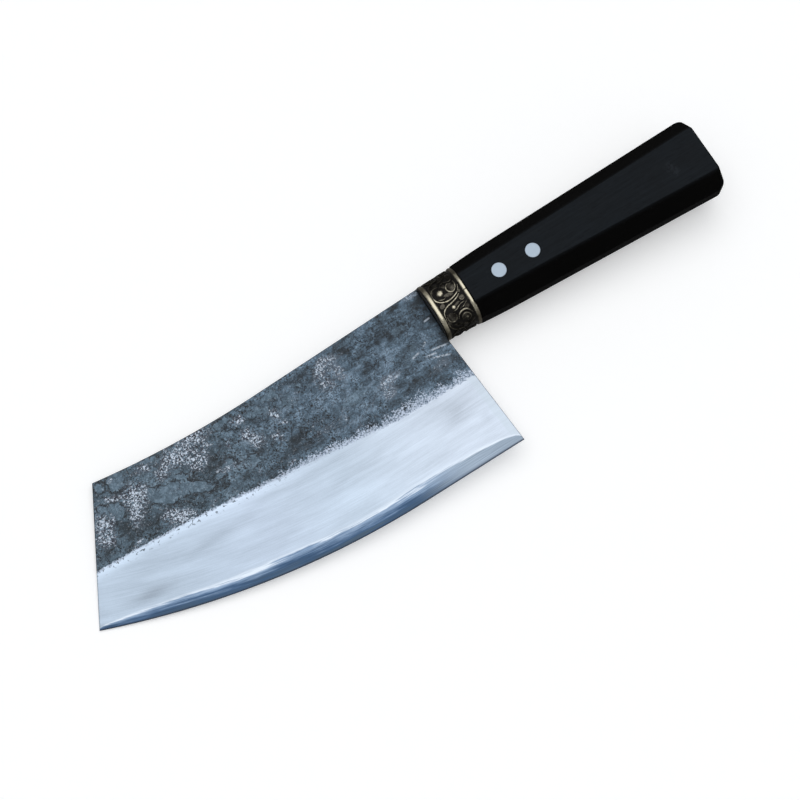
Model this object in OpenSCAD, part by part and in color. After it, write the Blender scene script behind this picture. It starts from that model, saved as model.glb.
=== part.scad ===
// Chinese cleaver with a forged blade, a partial tang, a cast ferrule and an octagonal handle.
// The knife lies flat: X runs along the handle to the butt, Y towards the spine and Z up.
// Its pieces are drawn round the handle's axis, with x = 0 at the front of the ferrule and
// z = 0 at the blade's middle plane, and lie_flat() then sets them on the surface z = 0.

/* [Blade outline] */
// Height of the spine above the handle's axis, at the ferrule
spine_rise = 12.5; // [12:0.1:14]
// Angle at which the spine falls towards the tip
spine_fall = 2.9; // [0:0.1:5]
// Length of the straight part of the spine
spine_straight_l = 80; // [50:1:110]
// Radius of the hollow curve that the spine takes near the tip
spine_r = 434; // [300:1:900]
// Distance from the ferrule to the spine's tip corner
tip_x = 154.3; // [140:0.1:175]
// Lean of the tip line, from square
tip_lean = 26.4; // [10:0.1:30]
// Depth of the heel corner below the handle's axis
heel_depth = 64.7; // [50:0.1:75]
// Distance that the heel corner reaches back past the front of the ferrule
heel_back = 4.2; // [1:0.1:6]
// Angle at which the straight part of the edge falls towards the tip
edge_fall = 1.1; // [0.1:0.1:3]
// Length of the straight part of the edge
edge_straight_l = 47; // [20:1:70]
// Radius of the curved part of the edge
edge_r = 379; // [300:1:600]

/* [Blade section] */
// Thickness of the spine at the ferrule
spine_t = 3.5; // [3.2:0.1:4.5]
// Thickness that the blade loses over each 100 mm towards the tip
distal_taper = 0.42; // [0:0.02:0.6]
// Thickness that the forged sides lose over each 10 mm towards the edge
side_taper = 0.25; // [0.1:0.01:0.3]
// Depth of the grind line below the handle's axis, at the ferrule
grind_depth = 32; // [25:0.1:38]
// Angle at which the grind line rises towards the tip
grind_rise = 3.1; // [0:0.1:5]
// Further thickness that the ground sides lose over each 10 mm
grind_taper = 0.12; // [0.05:0.01:0.15]
// Thickness of the cutting edge itself
edge_t = 0.24; // [0.1:0.02:0.4]
// Angle of the edge bevel on each side
edge_bevel = 4.9; // [4:0.1:8]

/* [Tang] */
// Distance that the tang reaches past the rear rivet
tang_past_rivet = 11.7; // [8:0.1:30]
// Height of the tang
tang_h = 14; // [11:0.5:16]
// Thickness of the tang
tang_t = 2.7; // [2:0.1:2.9]
// Size of the chamfers at the tang's end
tang_chamfer = 4; // [1:0.5:5]

/* [Ferrule] */
// Length of the ferrule
ferrule_l = 16.6; // [12:0.1:20]
// Height of the ferrule at its front
ferrule_h = 25.8; // [24:0.1:26]
// Thickness of the ferrule at its front
ferrule_t = 19.9; // [18:0.1:20]
// Growth of the ferrule's height and thickness from front to rear
ferrule_flare = 1.2; // [0.5:0.1:1.5]
// Wall of the ferrule at its rims
ferrule_wall = 1.6; // [1.3:0.1:1.8]
// Width of the front rim
front_rim_w = 2.3; // [1.5:0.1:3]
// Width of the rear rim
rear_rim_w = 2; // [1.5:0.1:3]
// Size of the chamfers along the rims
rim_chamfer = 0.5; // [0.2:0.1:0.7]
// Depth of the ground between the rims, from which the ornament stands up
ornament_depth = 0.3; // [0.2:0.1:0.8]

/* [Handle] */
// Length of the handle behind the ferrule
handle_l = 118.2; // [100:0.1:140]
// Width of the handle at its front
handle_w = 27.1; // [26.8:0.1:30]
// Width of the handle at its butt
butt_w = 35.4; // [32:0.1:38]
// Thickness of the handle
handle_t = 21.5; // [21.2:0.1:25]
// Width of the octagon's chamfers, measured across the handle
chamfer_w = 7.1; // [5:0.1:8]
// Length over which the sides are dressed down to the ferrule
shoulder_l = 18; // [8:1:24]
// Depth to which the sides are dressed down at the ferrule
shoulder_drop = 0.6; // [0:0.1:0.8]
// Radius of the butt's corners, seen from above
butt_corner_r = 4; // [2:0.5:6]
// Radius of the soft edge round the butt's end
butt_edge_r = 1.5; // [0.5:0.1:3]

/* [Rivets] */
// Distance from the ferrule to the front rivet
rivet_x = 15.3; // [12:0.1:20]
// Distance between the two rivets
rivet_pitch = 16.4; // [13:0.1:18]
// Depth of the rivets below the handle's axis
rivet_low = 0.7; // [-1:0.1:1.5]
// Diameter of the rivets' heads
rivet_head_d = 6.4; // [6:0.1:8]
// Thickness of the rivets' heads
rivet_head_h = 1.2; // [0.8:0.1:2]
// Diameter of a socket's barrel
barrel_d = 4.4; // [4:0.1:5]
// Diameter of a post
post_d = 2.8; // [2.4:0.1:3]
// Distance from the end of a barrel, or of a post, to the head that faces it
rivet_gap = 0.6; // [0.3:0.1:1.5]

/* [Fits] */
// Clearance all round between the ferrule and what fills it
tenon_fit = 0.1; // [0.05:0.05:0.3]
// Thickness of the resin all round the tang
resin_t = 0.6; // [0.3:0.1:1]
// Depth of the ferrule's mouth that the resin fills
mouth_depth = 1.6; // [1:0.1:3]
// Distance that the resin stays back from the ferrule's front
resin_setback = 0.3; // [0.1:0.1:0.8]
// Clearance all round the rivets
rivet_fit = 0.05; // [0.02:0.01:0.15]

/* [Hidden] */
$fn = 96;
curve_steps = 10;
// Length by which a cutter reaches past what it cuts
past = 5;

// Spine: the end of its straight part, the centre of its hollow curve and its tip corner
spine_tangent = [0, spine_rise] - spine_straight_l * along(spine_fall);
spine_centre = spine_tangent + spine_r * square_to(spine_fall);
tip_swing = asin((tip_x + spine_centre[0]) / spine_r);
tip_corner = spine_centre - spine_r * square_to(-tip_swing);

// Edge: the end of its straight part, the centre of its belly and its lowest point
heel_corner = [heel_back, -heel_depth];
edge_tangent = heel_corner - edge_straight_l * along(edge_fall);
edge_centre = edge_tangent + edge_r * square_to(edge_fall);
belly_y = edge_centre[1] - edge_r;
// Distance from the spine's tip corner to the edge's, down the tip line
tip_line = square_to(-tip_lean);
tip_to_centre = (tip_corner - edge_centre) * tip_line;
tip_from_centre = norm(tip_corner - edge_centre);
tip_l = tip_to_centre + sqrt(pow(tip_to_centre, 2) - pow(tip_from_centre, 2) + pow(edge_r, 2));
tip_edge_corner = tip_corner - tip_l * tip_line;

// Half thickness of the forged and of the ground sides at the ferrule, and their slopes
forged_slope = [distal_taper / 100, side_taper / 10] / 2;
forged_half_t = spine_t / 2 - forged_slope[1] * spine_rise;
ground_slope = forged_slope + grind_taper / 10 / 2 * square_to(-grind_rise);
ground_half_t = forged_half_t + (ground_slope - forged_slope) * [0, grind_depth];
// Height of the edge bevels, past the sides that they meet
bevel_h = 2.4;
bevel_r = edge_r - bevel_h / tan(edge_bevel);

// Length of the tang behind the front of the ferrule
tang_l = ferrule_l + rivet_x + rivet_pitch + tang_past_rivet;

// Ferrule: two round ends, a constant distance apart, whose radius grows towards the rear
neck_y = rim_chamfer - ferrule_h / 2;
oval_flat = ferrule_h - ferrule_t;

// Handle: the slope of its sides, and the rounding of its butt
butt_x = ferrule_l + handle_l;
side_angle = atan((butt_w - handle_w) / 2 / handle_l);
butt_corner_x = butt_x - butt_corner_r;
butt_corner_y = side_y(butt_corner_x) - butt_corner_r / cos(side_angle);
slot_h = tang_h + 2 * resin_t;
slot_t = tang_t + 2 * resin_t;
slot_end = tang_l + resin_t;

// From the handle's axis to the middle of the knife's outline
middle = [tip_edge_corner[0] + butt_x, belly_y + butt_corner_y + butt_corner_r] / 2;

function along(angle) = [cos(angle), sin(angle)];
function square_to(angle) = [-sin(angle), cos(angle)];
function arc(centre, r, from, to) =
    [for (i = [0:curve_steps]) centre + r * along(from + (to - from) * i / curve_steps)];
// Half width of the handle, and how far its sides are dressed down at the front
function side_y(x) = handle_w / 2 + (x - ferrule_l) * tan(side_angle);
function dressing(x) = shoulder_drop * pow(1 - (x - ferrule_l) / shoulder_l, 2);

module lie_flat()
    translate([-middle[0], -middle[1], handle_t / 2])
        children();

module mirrored(axis) {
    children();
    mirror(axis)
        children();
}

// What lies between a sloping plane and its reflection. half_t is its height at x = 0, y = 0
module between_planes(half_t, slope) {
    size = 500;
    turn_y = -atan(slope[0]);
    turn_x = atan(slope[1] * cos(turn_y));
    intersection_for(side = [0, 1])
        mirror([0, 0, side])
            translate([0, 0, half_t])
                rotate([turn_x, turn_y, 0])
                    translate([-size / 2, -size / 2, -2 * past])
                        cube([size, size, 2 * past]);
}

// The blade seen from the side, past its edge: the edge bevels cut it off there
module blade_outline() {
    below = belly_y - past;
    below_tip = tip_corner + tip_line * (below - tip_corner[1]) / tip_line[1];
    below_heel = [heel_back * (below - neck_y) / (-heel_depth - neck_y), below];
    polygon(concat(
        [[0, spine_rise]],
        arc(spine_centre, spine_r, spine_fall - 90, -tip_swing - 90),
        [below_tip, below_heel, [0, neck_y]]));
}

// The wedge between the edge bevels, drawn round the centre of the belly. Its edge is a
// circle up to the ruling x = 0 and a straight line past it.
module edge_wedge() {
    tip_z = edge_t / 2;
    intersection() {
        union() {
            cylinder(r = edge_r, h = edge_t, center = true);
            mirrored([0, 0, 1])
                translate([0, 0, tip_z])
                    cylinder(r1 = edge_r, r2 = bevel_r, h = bevel_h);
        }
        translate([-edge_r, -edge_r - past, -2 * past])
            cube([edge_r, edge_r, 4 * past]);
    }
    rotate([90, 0, 90])
        linear_extrude(edge_straight_l + past)
            polygon([[-edge_r, -tip_z], [-edge_r, tip_z], [-bevel_r, tip_z + bevel_h],
                     [-past, tip_z + bevel_h], [-past, -tip_z - bevel_h], [-bevel_r, -tip_z - bevel_h]]);
}

module tang() {
    linear_extrude(tang_t, center = true)
        polygon([[-past, -tang_h / 2], [tang_l - tang_chamfer, -tang_h / 2],
                 [tang_l, tang_chamfer - tang_h / 2], [tang_l, tang_h / 2 - tang_chamfer],
                 [tang_l - tang_chamfer, tang_h / 2], [-past, tang_h / 2]]);
}

module at_rivet(i)
    translate([ferrule_l + rivet_x + i * rivet_pitch, -rivet_low, 0])
        children();

module rivet_bores()
    for (i = [0, 1])
        at_rivet(i)
            cylinder(d = barrel_d + 2 * rivet_fit, h = handle_t + past, center = true);

module blade()
    color([0.45, 0.5, 0.56])
        lie_flat()
            difference() {
                union() {
                    intersection() {
                        linear_extrude(2 * past, center = true)
                            blade_outline();
                        between_planes(forged_half_t, forged_slope);
                        between_planes(ground_half_t, ground_slope);
                        translate(edge_centre)
                            rotate(edge_fall)
                                edge_wedge();
                    }
                    tang();
                }
                rivet_bores();
            }

// A length of the ferrule's oval, inset from its outer surface by one amount at each end
module oval(from, to, from_inset, to_inset) {
    growth = ferrule_flare / 2 / ferrule_l;
    from_r = ferrule_t / 2 + growth * from - from_inset;
    to_r = ferrule_t / 2 + growth * to - to_inset;
    mirrored([0, 1, 0])
        translate([from, oval_flat / 2, 0])
            rotate([0, 90, 0])
                cylinder(r1 = from_r, r2 = to_r, h = to - from);
    rotate([90, 0, 0])
        linear_extrude(oval_flat, center = true)
            polygon([[from, -from_r], [to, -to_r], [to, to_r], [from, from_r]]);
}

module rim(from, to) {
    oval(from, from + rim_chamfer, rim_chamfer, 0);
    oval(from + rim_chamfer, to - rim_chamfer, 0, 0);
    oval(to - rim_chamfer, to, 0, rim_chamfer);
}

module ferrule()
    color([0.5, 0.44, 0.3])
        lie_flat()
            difference() {
                union() {
                    oval(rim_chamfer, ferrule_l - rim_chamfer, ornament_depth, ornament_depth);
                    rim(0, front_rim_w);
                    rim(ferrule_l - rear_rim_w, ferrule_l);
                }
                oval(-past, ferrule_l + past, ferrule_wall, ferrule_wall);
            }

// The handle seen from above
module handle_outline() {
    shoulder = [for (i = [0:curve_steps])
        let (x = ferrule_l + shoulder_l * i / curve_steps) [x, side_y(x) - dressing(x)]];
    corner = arc([butt_corner_x, butt_corner_y], butt_corner_r, 90 + side_angle, 0);
    mirrored([0, 1])
        polygon(concat([[ferrule_l, 0]], shoulder, corner, [[butt_x, 0]]));
}

// The handle seen from its side
module handle_profile() {
    edge = arc([butt_x - butt_edge_r, handle_t / 2 - butt_edge_r], butt_edge_r, 90, 0);
    mirrored([0, 1])
        polygon(concat([[ferrule_l, 0], [ferrule_l, handle_t / 2]], edge, [[butt_x, 0]]));
}

// What lies between the two chamfers of one side of the handle
module chamfer_wedge() {
    reach = handle_t / 2 - chamfer_w;
    translate([ferrule_l, handle_w / 2, 0])
        rotate([90, 0, 90 + side_angle])
            translate([0, 0, -past])
                linear_extrude(handle_l + 2 * past)
                    polygon([[reach, 0], [reach - 3 * handle_t, 3 * handle_t],
                             [reach - 3 * handle_t, -3 * handle_t]]);
}

module tang_slot(from)
    translate([from, -slot_h / 2, -slot_t / 2])
        cube([slot_end - from, slot_h, slot_t]);

module handle()
    color([0.13, 0.14, 0.16])
        lie_flat()
            difference() {
                union() {
                    intersection() {
                        linear_extrude(handle_t + past, center = true)
                            handle_outline();
                        rotate([90, 0, 0])
                            linear_extrude(2 * butt_w, center = true)
                                handle_profile();
                        chamfer_wedge();
                        mirror([0, 1, 0])
                            chamfer_wedge();
                    }
                    oval(mouth_depth, ferrule_l + past, ferrule_wall + tenon_fit, ferrule_wall + tenon_fit);
                }
                tang_slot(0);
                rivet_bores();
                for (i = [0, 1])
                    at_rivet(i)
                        mirrored([0, 0, 1])
                            translate([0, 0, handle_t / 2 - rivet_head_h])
                                cylinder(d = rivet_head_d + 2 * rivet_fit, h = rivet_head_h + past);
            }

module resin_bed()
    color([0.2, 0.2, 0.21])
        lie_flat()
            difference() {
                union() {
                    oval(resin_setback, mouth_depth, ferrule_wall + tenon_fit, ferrule_wall + tenon_fit);
                    tang_slot(resin_setback);
                }
                tang();
                rivet_bores();
            }

// Half of a two-piece rivet, with its head flush in the broad face at the top
module rivet_half(stem_d)
    translate([0, 0, handle_t / 2 - rivet_head_h]) {
        cylinder(d = rivet_head_d, h = rivet_head_h);
        stem_l = handle_t - 2 * rivet_head_h - rivet_gap;
        translate([0, 0, -stem_l])
            cylinder(d = stem_d, h = stem_l);
    }

module rivet_post(i)
    color([0.7, 0.75, 0.8])
        lie_flat()
            at_rivet(i)
                rivet_half(post_d);

module rivet_socket(i)
    color([0.66, 0.71, 0.76])
        lie_flat()
            at_rivet(i)
                difference() {
                    mirror([0, 0, 1])
                        rivet_half(barrel_d);
                    translate([0, 0, rivet_head_h - handle_t / 2])
                        cylinder(d = post_d + 2 * rivet_fit, h = handle_t);
                }

module front_rivet_post() rivet_post(0);
module front_rivet_socket() rivet_socket(0);
module rear_rivet_post() rivet_post(1);
module rear_rivet_socket() rivet_socket(1);

blade();
ferrule();
handle();
resin_bed();
front_rivet_post();
front_rivet_socket();
rear_rivet_post();
rear_rivet_socket();
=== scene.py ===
"""Chinese cleaver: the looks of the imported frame. Millimetres in the code, metres in the scene."""

import math
from functools import cached_property
from types import SimpleNamespace

import bmesh
import bpy
import numpy as np
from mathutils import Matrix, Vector


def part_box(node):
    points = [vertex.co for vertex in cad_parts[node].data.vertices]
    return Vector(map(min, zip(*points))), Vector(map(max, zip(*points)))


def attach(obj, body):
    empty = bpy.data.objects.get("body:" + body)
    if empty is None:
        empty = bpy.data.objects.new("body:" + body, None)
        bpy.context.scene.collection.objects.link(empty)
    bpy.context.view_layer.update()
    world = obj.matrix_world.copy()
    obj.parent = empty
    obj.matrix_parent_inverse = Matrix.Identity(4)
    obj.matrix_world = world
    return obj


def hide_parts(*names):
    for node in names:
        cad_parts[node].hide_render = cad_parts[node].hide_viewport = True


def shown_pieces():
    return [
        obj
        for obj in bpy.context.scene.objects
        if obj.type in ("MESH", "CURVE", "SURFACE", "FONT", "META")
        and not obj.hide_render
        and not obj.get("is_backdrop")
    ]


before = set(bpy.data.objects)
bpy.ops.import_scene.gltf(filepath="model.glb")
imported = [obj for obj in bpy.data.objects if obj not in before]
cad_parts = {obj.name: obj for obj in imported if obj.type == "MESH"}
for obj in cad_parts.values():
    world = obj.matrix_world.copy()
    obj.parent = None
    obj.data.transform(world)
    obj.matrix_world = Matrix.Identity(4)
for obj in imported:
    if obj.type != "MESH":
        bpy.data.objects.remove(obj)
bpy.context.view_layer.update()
MM = 0.001

# Knife coordinates, as in the solids: x = 0 at the ferrule's front, y = 0 on the handle's axis,
# z = 0 at the blade's middle plane. ORIGIN is that point in the shared frame, in millimetres.
ferrule_low, ferrule_high = (np.array(corner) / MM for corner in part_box("ferrule"))
ORIGIN = np.array([ferrule_low[0], *(ferrule_low + ferrule_high)[1:] / 2])

# Sizes of the solids that the pieces here are fitted to: ferrule, with its height and thickness at
# the front, how much it flares towards the handle, its wall, and the empty mouth in front
FERRULE_L = 16.6
FERRULE_H = 25.8
FERRULE_T = 19.9
FERRULE_FLARE = 1.2
FERRULE_WALL = 1.6
MOUTH_DEPTH = 1.6
# Tang and the resin round it
TANG_L = 60.0
TANG_H = 14.0
TANG_T = 2.7
RESIN_T = 0.6
# Handle, with its width in front and at the butt, and the play and reach of its tenon
HANDLE_L = 118.2
HANDLE_W = 27.1
BUTT_W = 35.4
HANDLE_T = 21.5
CHAMFER_W = 7.1
SHOULDER_L = 18.0
SHOULDER_DROP = 0.6
BUTT_EDGE_R = 1.5
TENON_FIT = 0.1
TENON_ROOT = 3.0
BUTT_X = FERRULE_L + HANDLE_L
# Rivets: the first one's place on the handle, how far they are apart and below the axis
RIVET_X = 15.3
RIVET_PITCH = 16.4
RIVET_LOW = 0.7
RIVET_HEAD_D = 6.4
RIVET_HEAD_H = 1.2
RIVET_GAP = 0.6
RIVET_FIT = 0.05
BARREL_D = 4.4
POST_D = 2.8
# Blade's outline, in millimetres and degrees
SPINE_RISE = 12.5
SPINE_FALL = 2.9
SPINE_STRAIGHT = 80.0
SPINE_R = 434.0
TIP_X = 154.3
TIP_LEAN = 26.4
HEEL_DEPTH = 64.7
HEEL_BACK = 4.2
NECK_Y = -12.4
EDGE_FALL = 1.1
EDGE_STRAIGHT = 47.0
EDGE_R = 379.0
# Blade's section: half its thickness at the origin, how much that gains along and across the
# blade for each millimetre, the steeper taper below the grind line, and the edge
FORGED_HALF_T = 1.594
TAPER_ALONG = 0.0021
TAPER_ACROSS = 0.0125
GRIND_TAPER = 0.0185
EDGE_T = 0.24

# Size of the table of random numbers, and a shift that keeps places on it above zero
NOISE_CELLS = 256
NOISE_SHIFT = 1000
# A distance that counts as out of reach
FAR_OFF = 99


def along(degrees=0):
    return np.array([math.cos(math.radians(degrees)), math.sin(math.radians(degrees))])


def square_to(degrees):
    return np.array([-math.sin(math.radians(degrees)), math.cos(math.radians(degrees))])


def smooth(value, start, end):
    """0 at start and 1 at end, with a smooth step between them"""
    t = np.clip((np.asarray(value, float) - start) / (end - start), 0, 1)
    return t * t * (3 - 2 * t)


def hill(x, middle, reach, height):
    return height * np.exp(-((x - middle) / reach) ** 2)


def arch(x, start, length, height, power=1.0):
    """Half a wave, which rises at start and is level again a length further on"""
    return height * np.sin(np.pi * np.clip((x - start) / length, 0, 1)) ** power


def oval_far(x, y, at_x, at_y, reach_x, reach_y, turn=0):
    """Squared distance from the middle of an oval that may be turned: 1 on the oval itself"""
    c, s = along(turn)
    u = ((x - at_x) * c + (y - at_y) * s) / reach_x
    v = ((y - at_y) * c - (x - at_x) * s) / reach_y
    return u * u + v * v


def noise(x, y, size, seed, octaves=1):
    """Smooth random heights between -1 and 1, on cells of the given size"""
    total, weight = 0.0, 1.0
    for octave in range(octaves):
        table = np.random.default_rng(seed + octave).uniform(-1, 1, (NOISE_CELLS, NOISE_CELLS))
        u, v = np.asarray(x) / size + NOISE_SHIFT, np.asarray(y) / size + NOISE_SHIFT
        i, j = np.floor(u).astype(int), np.floor(v).astype(int)
        u, v = u - i, v - j
        u, v = u * u * (3 - 2 * u), v * v * (3 - 2 * v)
        i0, i1, j0, j1 = (cell % NOISE_CELLS for cell in (i, i + 1, j, j + 1))
        total = total + weight * (
            (table[i0, j0] * (1 - u) + table[i1, j0] * u) * (1 - v)
            + (table[i0, j1] * (1 - u) + table[i1, j1] * u) * v)
        size, weight = size / 2, weight / 2
    return total


def add_attribute(mesh, name, values):
    mesh.attributes.new(name, "FLOAT", "POINT").data.foreach_set("value", np.asarray(values, np.float32))


def new_mesh(name, points, faces, attributes=None):
    """A mesh from points in knife coordinates"""
    mesh = bpy.data.meshes.new(name)
    mesh.from_pydata(((np.asarray(points) + ORIGIN) * MM).tolist(), [], faces)
    mesh.update()
    mesh.shade_smooth()
    for key, values in (attributes or {}).items():
        add_attribute(mesh, key, values)
    return mesh


def mesh_points(mesh):
    """The points of a mesh in metres, one in each row"""
    points = np.empty(3 * len(mesh.vertices), np.float32)
    mesh.vertices.foreach_get("co", points)
    return points.reshape(-1, 3)


def new_object(name, mesh):
    thing = bpy.data.objects.new(name, mesh)
    bpy.context.collection.objects.link(thing)
    return thing


def dress(mesh, material):
    mesh.materials.clear()
    mesh.materials.append(material)


def add_piece(name, mesh, material, replaced):
    """A piece in the place of a solid, kept inside that solid's box"""
    mesh.vertices.foreach_set("co", np.clip(mesh_points(mesh), *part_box(replaced)).ravel())
    dress(mesh, material)
    piece = new_object(name, mesh)
    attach(piece, "root")
    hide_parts(replaced)


def quads(numbers, wrap=False, closed=False, flip=False):
    """Faces between points that are numbered in rows and columns. wrap joins the last column to the
    first one, and closed does so with the rows."""
    if wrap:
        numbers = np.hstack([numbers, numbers[:, :1]])
    if closed:
        numbers = np.vstack([numbers, numbers[:1]])
    faces = np.stack([numbers[:-1, :-1], numbers[:-1, 1:], numbers[1:, 1:], numbers[1:, :-1]], -1)
    faces = faces.reshape(-1, 4).tolist()
    return [face[::-1] for face in faces] if flip else faces


def numbered(rows, columns):
    return np.arange(rows * columns).reshape(rows, columns)


def tube_faces(rings, count):
    """Faces between rings of so many points, and one over each end"""
    numbers = numbered(rings, count)
    return [*quads(numbers, wrap=True), numbers[0, ::-1].tolist(), numbers[-1].tolist()]


def operator(operation):
    """A method that makes the node for an operation on a Value"""
    return lambda value, other=0: value.graph.math(operation, value, other)


class Value:
    """What a node of a material gives. Sums and products with it are made by further nodes."""

    def __init__(self, graph, socket):
        self.graph = graph
        self.socket = socket

    def __rsub__(self, other):
        return self.graph.math("SUBTRACT", other, self)

    __add__ = __radd__ = operator("ADD")
    __mul__ = __rmul__ = operator("MULTIPLY")
    __sub__ = operator("SUBTRACT")
    __truediv__ = operator("DIVIDE")
    __abs__ = operator("ABSOLUTE")


class Graph:
    """The nodes of a material or a world, built by short calls. An argument is a number, a colour or
    a Value."""

    def __init__(self, name, scale=(1, 1, 1), kind="materials"):
        self.scale = scale
        self.owner = getattr(bpy.data, kind).new(name)
        self.owner.use_nodes = True
        self.tree = self.owner.node_tree

    @cached_property
    def at(self):
        """The place on the object, stretched by the material's own scale"""
        return self.place(self.scale)

    def put(self, socket, value):
        if isinstance(value, Value):
            self.tree.links.new(value.socket, socket)
        elif socket.type == "RGBA":
            socket.default_value = (*value, 1)
        else:
            socket.default_value = value

    def node(self, kind, inputs, output=0, **settings):
        """What a new node with these inputs and settings gives at one of its outputs"""
        made = self.tree.nodes.new("ShaderNode" + kind)
        for key, value in settings.items():
            setattr(made, key, value)
        for key, value in inputs.items():
            self.put(made.inputs[key], value)
        return Value(self, made.outputs[output])

    def math(self, operation, a, b):
        return self.node("Math", {0: a, 1: b}, operation=operation)

    def largest(self, first, *others):
        for other in others:
            first = self.math("MAXIMUM", first, other)
        return first

    def step(self, value, start, end):
        """0 at start and 1 at end, with a smooth step between them"""
        return self.node("MapRange", {"Value": value, "From Min": start, "From Max": end},
                         interpolation_type="SMOOTHSTEP")

    def band(self, value, centre, half, soft):
        """1 within half of the centre, 0 beyond the soft border around that"""
        return self.step(abs(value - centre) - half, soft, 0.0)

    def blend(self, share, a, b):
        """A number between a and b"""
        return self.node("Mix", {0: share, 2: a, 3: b}, data_type="FLOAT")

    def mix(self, share, a, b, blend="MIX"):
        """A colour between a and b"""
        return self.node("Mix", {0: share, 6: a, 7: b}, 2, data_type="RGBA", blend_type=blend)

    def ramp(self, value, *stops):
        made = self.node("ValToRGB", {"Fac": value})
        elements = made.socket.node.color_ramp.elements
        while len(elements) < len(stops):
            elements.new(0.5)
        for element, (position, colour) in zip(elements, stops):
            element.position = position
            element.color = (*colour, 1)
        return made

    def scaled(self, colour, factor):
        return self.node("VectorMath", {"Vector": colour, "Scale": factor}, operation="SCALE")

    def attributes(self, *names):
        return [self.node("Attribute", {}, "Fac", attribute_name=name) for name in names]

    def mapped(self, location=(0, 0, 0), turn=0.0, scale=(1, 1, 1), kind="POINT"):
        where = self.node("TexCoord", {}, "Object")
        return self.node("Mapping", {"Vector": where, "Location": location, "Rotation": (0, 0, turn),
                                     "Scale": scale}, vector_type=kind)

    def place(self, scale=(1, 1, 1), turn=0.0):
        """Object coordinates in millimetres, turned by degrees and stretched on each axis"""
        return self.mapped(turn=math.radians(turn), scale=tuple(s / MM for s in scale))

    def flow(self, run, across, stretch):
        """Coordinates that follow a curved border: drawn out along it, as they are across it"""
        return self.node("CombineXYZ", {"X": run * stretch, "Y": across})

    def line(self, start, end, width):
        """1 on a thin line between two places of the knife, tapering at its ends"""
        start, end = np.array(start), np.array(end)
        length = float(np.linalg.norm(end - start))
        middle = (*((start + end) / 2 + ORIGIN[:2]) * MM, 0)
        where = self.mapped(middle, math.atan2(*(end - start)[::-1]), kind="TEXTURE")
        ahead, aside = (self.node("SeparateXYZ", {0: where}, axis) * (1 / MM) for axis in "XY")
        return self.band(ahead, 0.0, length / 4, length / 4) * self.band(aside, 0.0, width / 3, width)

    def noise(self, size, detail=2.0, roughness=0.5, distortion=0.0, where=None):
        """Noise around 0.5, on cells of the given size"""
        return self.node("TexNoise", {"Vector": where or self.at, "Scale": 1 / size, "Detail": detail,
                                      "Roughness": roughness, "Distortion": distortion})

    def bump(self, height, distance, strength):
        return self.node("Bump", {"Height": height, "Distance": distance * MM, "Strength": strength})

    def finish(self, shader="Principled BSDF", **values):
        """The material or world, with these values on its shader"""
        for key, value in values.items():
            self.put(self.tree.nodes[shader].inputs[key.replace("_", " ")], value)
        return self.owner


# The blade's outline: a straight spine and an arc to the tip, a straight and an arc of the edge,
# and the leaning tip line between them
spine_tangent = np.array([0, SPINE_RISE]) - SPINE_STRAIGHT * along(SPINE_FALL)
spine_centre = spine_tangent + SPINE_R * square_to(SPINE_FALL)
tip_swing = math.degrees(math.asin((TIP_X + spine_centre[0]) / SPINE_R))
tip_corner = spine_centre - SPINE_R * square_to(-tip_swing)
heel_corner = np.array([HEEL_BACK, -HEEL_DEPTH])
edge_tangent = heel_corner - EDGE_STRAIGHT * along(EDGE_FALL)
edge_centre = edge_tangent + EDGE_R * square_to(EDGE_FALL)
tip_line = square_to(-TIP_LEAN)
tip_to_centre = (tip_corner - edge_centre) @ tip_line
tip_l = tip_to_centre + math.sqrt(
    tip_to_centre ** 2 - np.sum((tip_corner - edge_centre) ** 2) + EDGE_R ** 2)
tip_edge_corner = tip_corner - tip_l * tip_line

BLADE_COLUMNS = 300
BLADE_ROWS = 128
# Rounding of the blade's outline across its thickness: in general, at the edge and in the ferrule
RIM_R = 0.35
EDGE_RIM_R = 0.1
HIDDEN_RIM_R = 0.03
RIM_STEPS = 4
# The polished bevel's width, and how far from the tip and from the heel it has come up to that
BEVEL_W = 5.75
BEVEL_TIP_RUN = 60
BEVEL_HEEL_RUN = 20
# The grind line at the origin, and what it gains for each millimetre towards the handle
GRIND_Y = -31.2
GRIND_SLOPE = -0.0545
# Seeds of the unevenness of the photographed side and of the far side
NEAR_SEED = 11
FAR_SEED = 61
# The far side has the near side's marks the other way round: their two places add up to this
MARKS_TURNED = -158
# The tang counts as this far above the grind line, so it is all scale
TANG_GRIND = 30.0


def bent(x, start, centre, r, fall):
    """Height of a line that falls by degrees, and of the arc that takes over from its start"""
    straight = start[1] + (x - start[0]) * math.tan(math.radians(fall))
    return np.where(x > start[0], straight, centre[1] - np.sqrt(r ** 2 - (x - centre[0]) ** 2))


def spine_y(x):
    return bent(x, spine_tangent, spine_centre, SPINE_R, SPINE_FALL)


def edge_y(x):
    return bent(x, edge_tangent, edge_centre, EDGE_R, EDGE_FALL)


def heel_x(y):
    """The back of the blade: square as far down as the neck, then leaning back to the heel"""
    return np.where(y > NECK_Y, 0, HEEL_BACK * (y - NECK_Y) / (-HEEL_DEPTH - NECK_Y))


def from_edge(x, y):
    """Distance from the cutting edge"""
    across, down = ((x - edge_centre[0]) * way[0] + (y - edge_centre[1]) * way[1]
                    for way in (along(EDGE_FALL), square_to(EDGE_FALL)))
    return EDGE_R - np.where(across < 0, np.hypot(across, down), -down)


def grind_y(x):
    """The grind line: straight, with a long hump towards the tip and a hollow near the heel"""
    return (GRIND_Y + GRIND_SLOPE * x + arch(x, start=-172, length=94, height=1.1)
            + arch(x, start=-78, length=80, height=-1.9, power=1.5)
            + hill(x, middle=-92, reach=22, height=-0.7))


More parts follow.
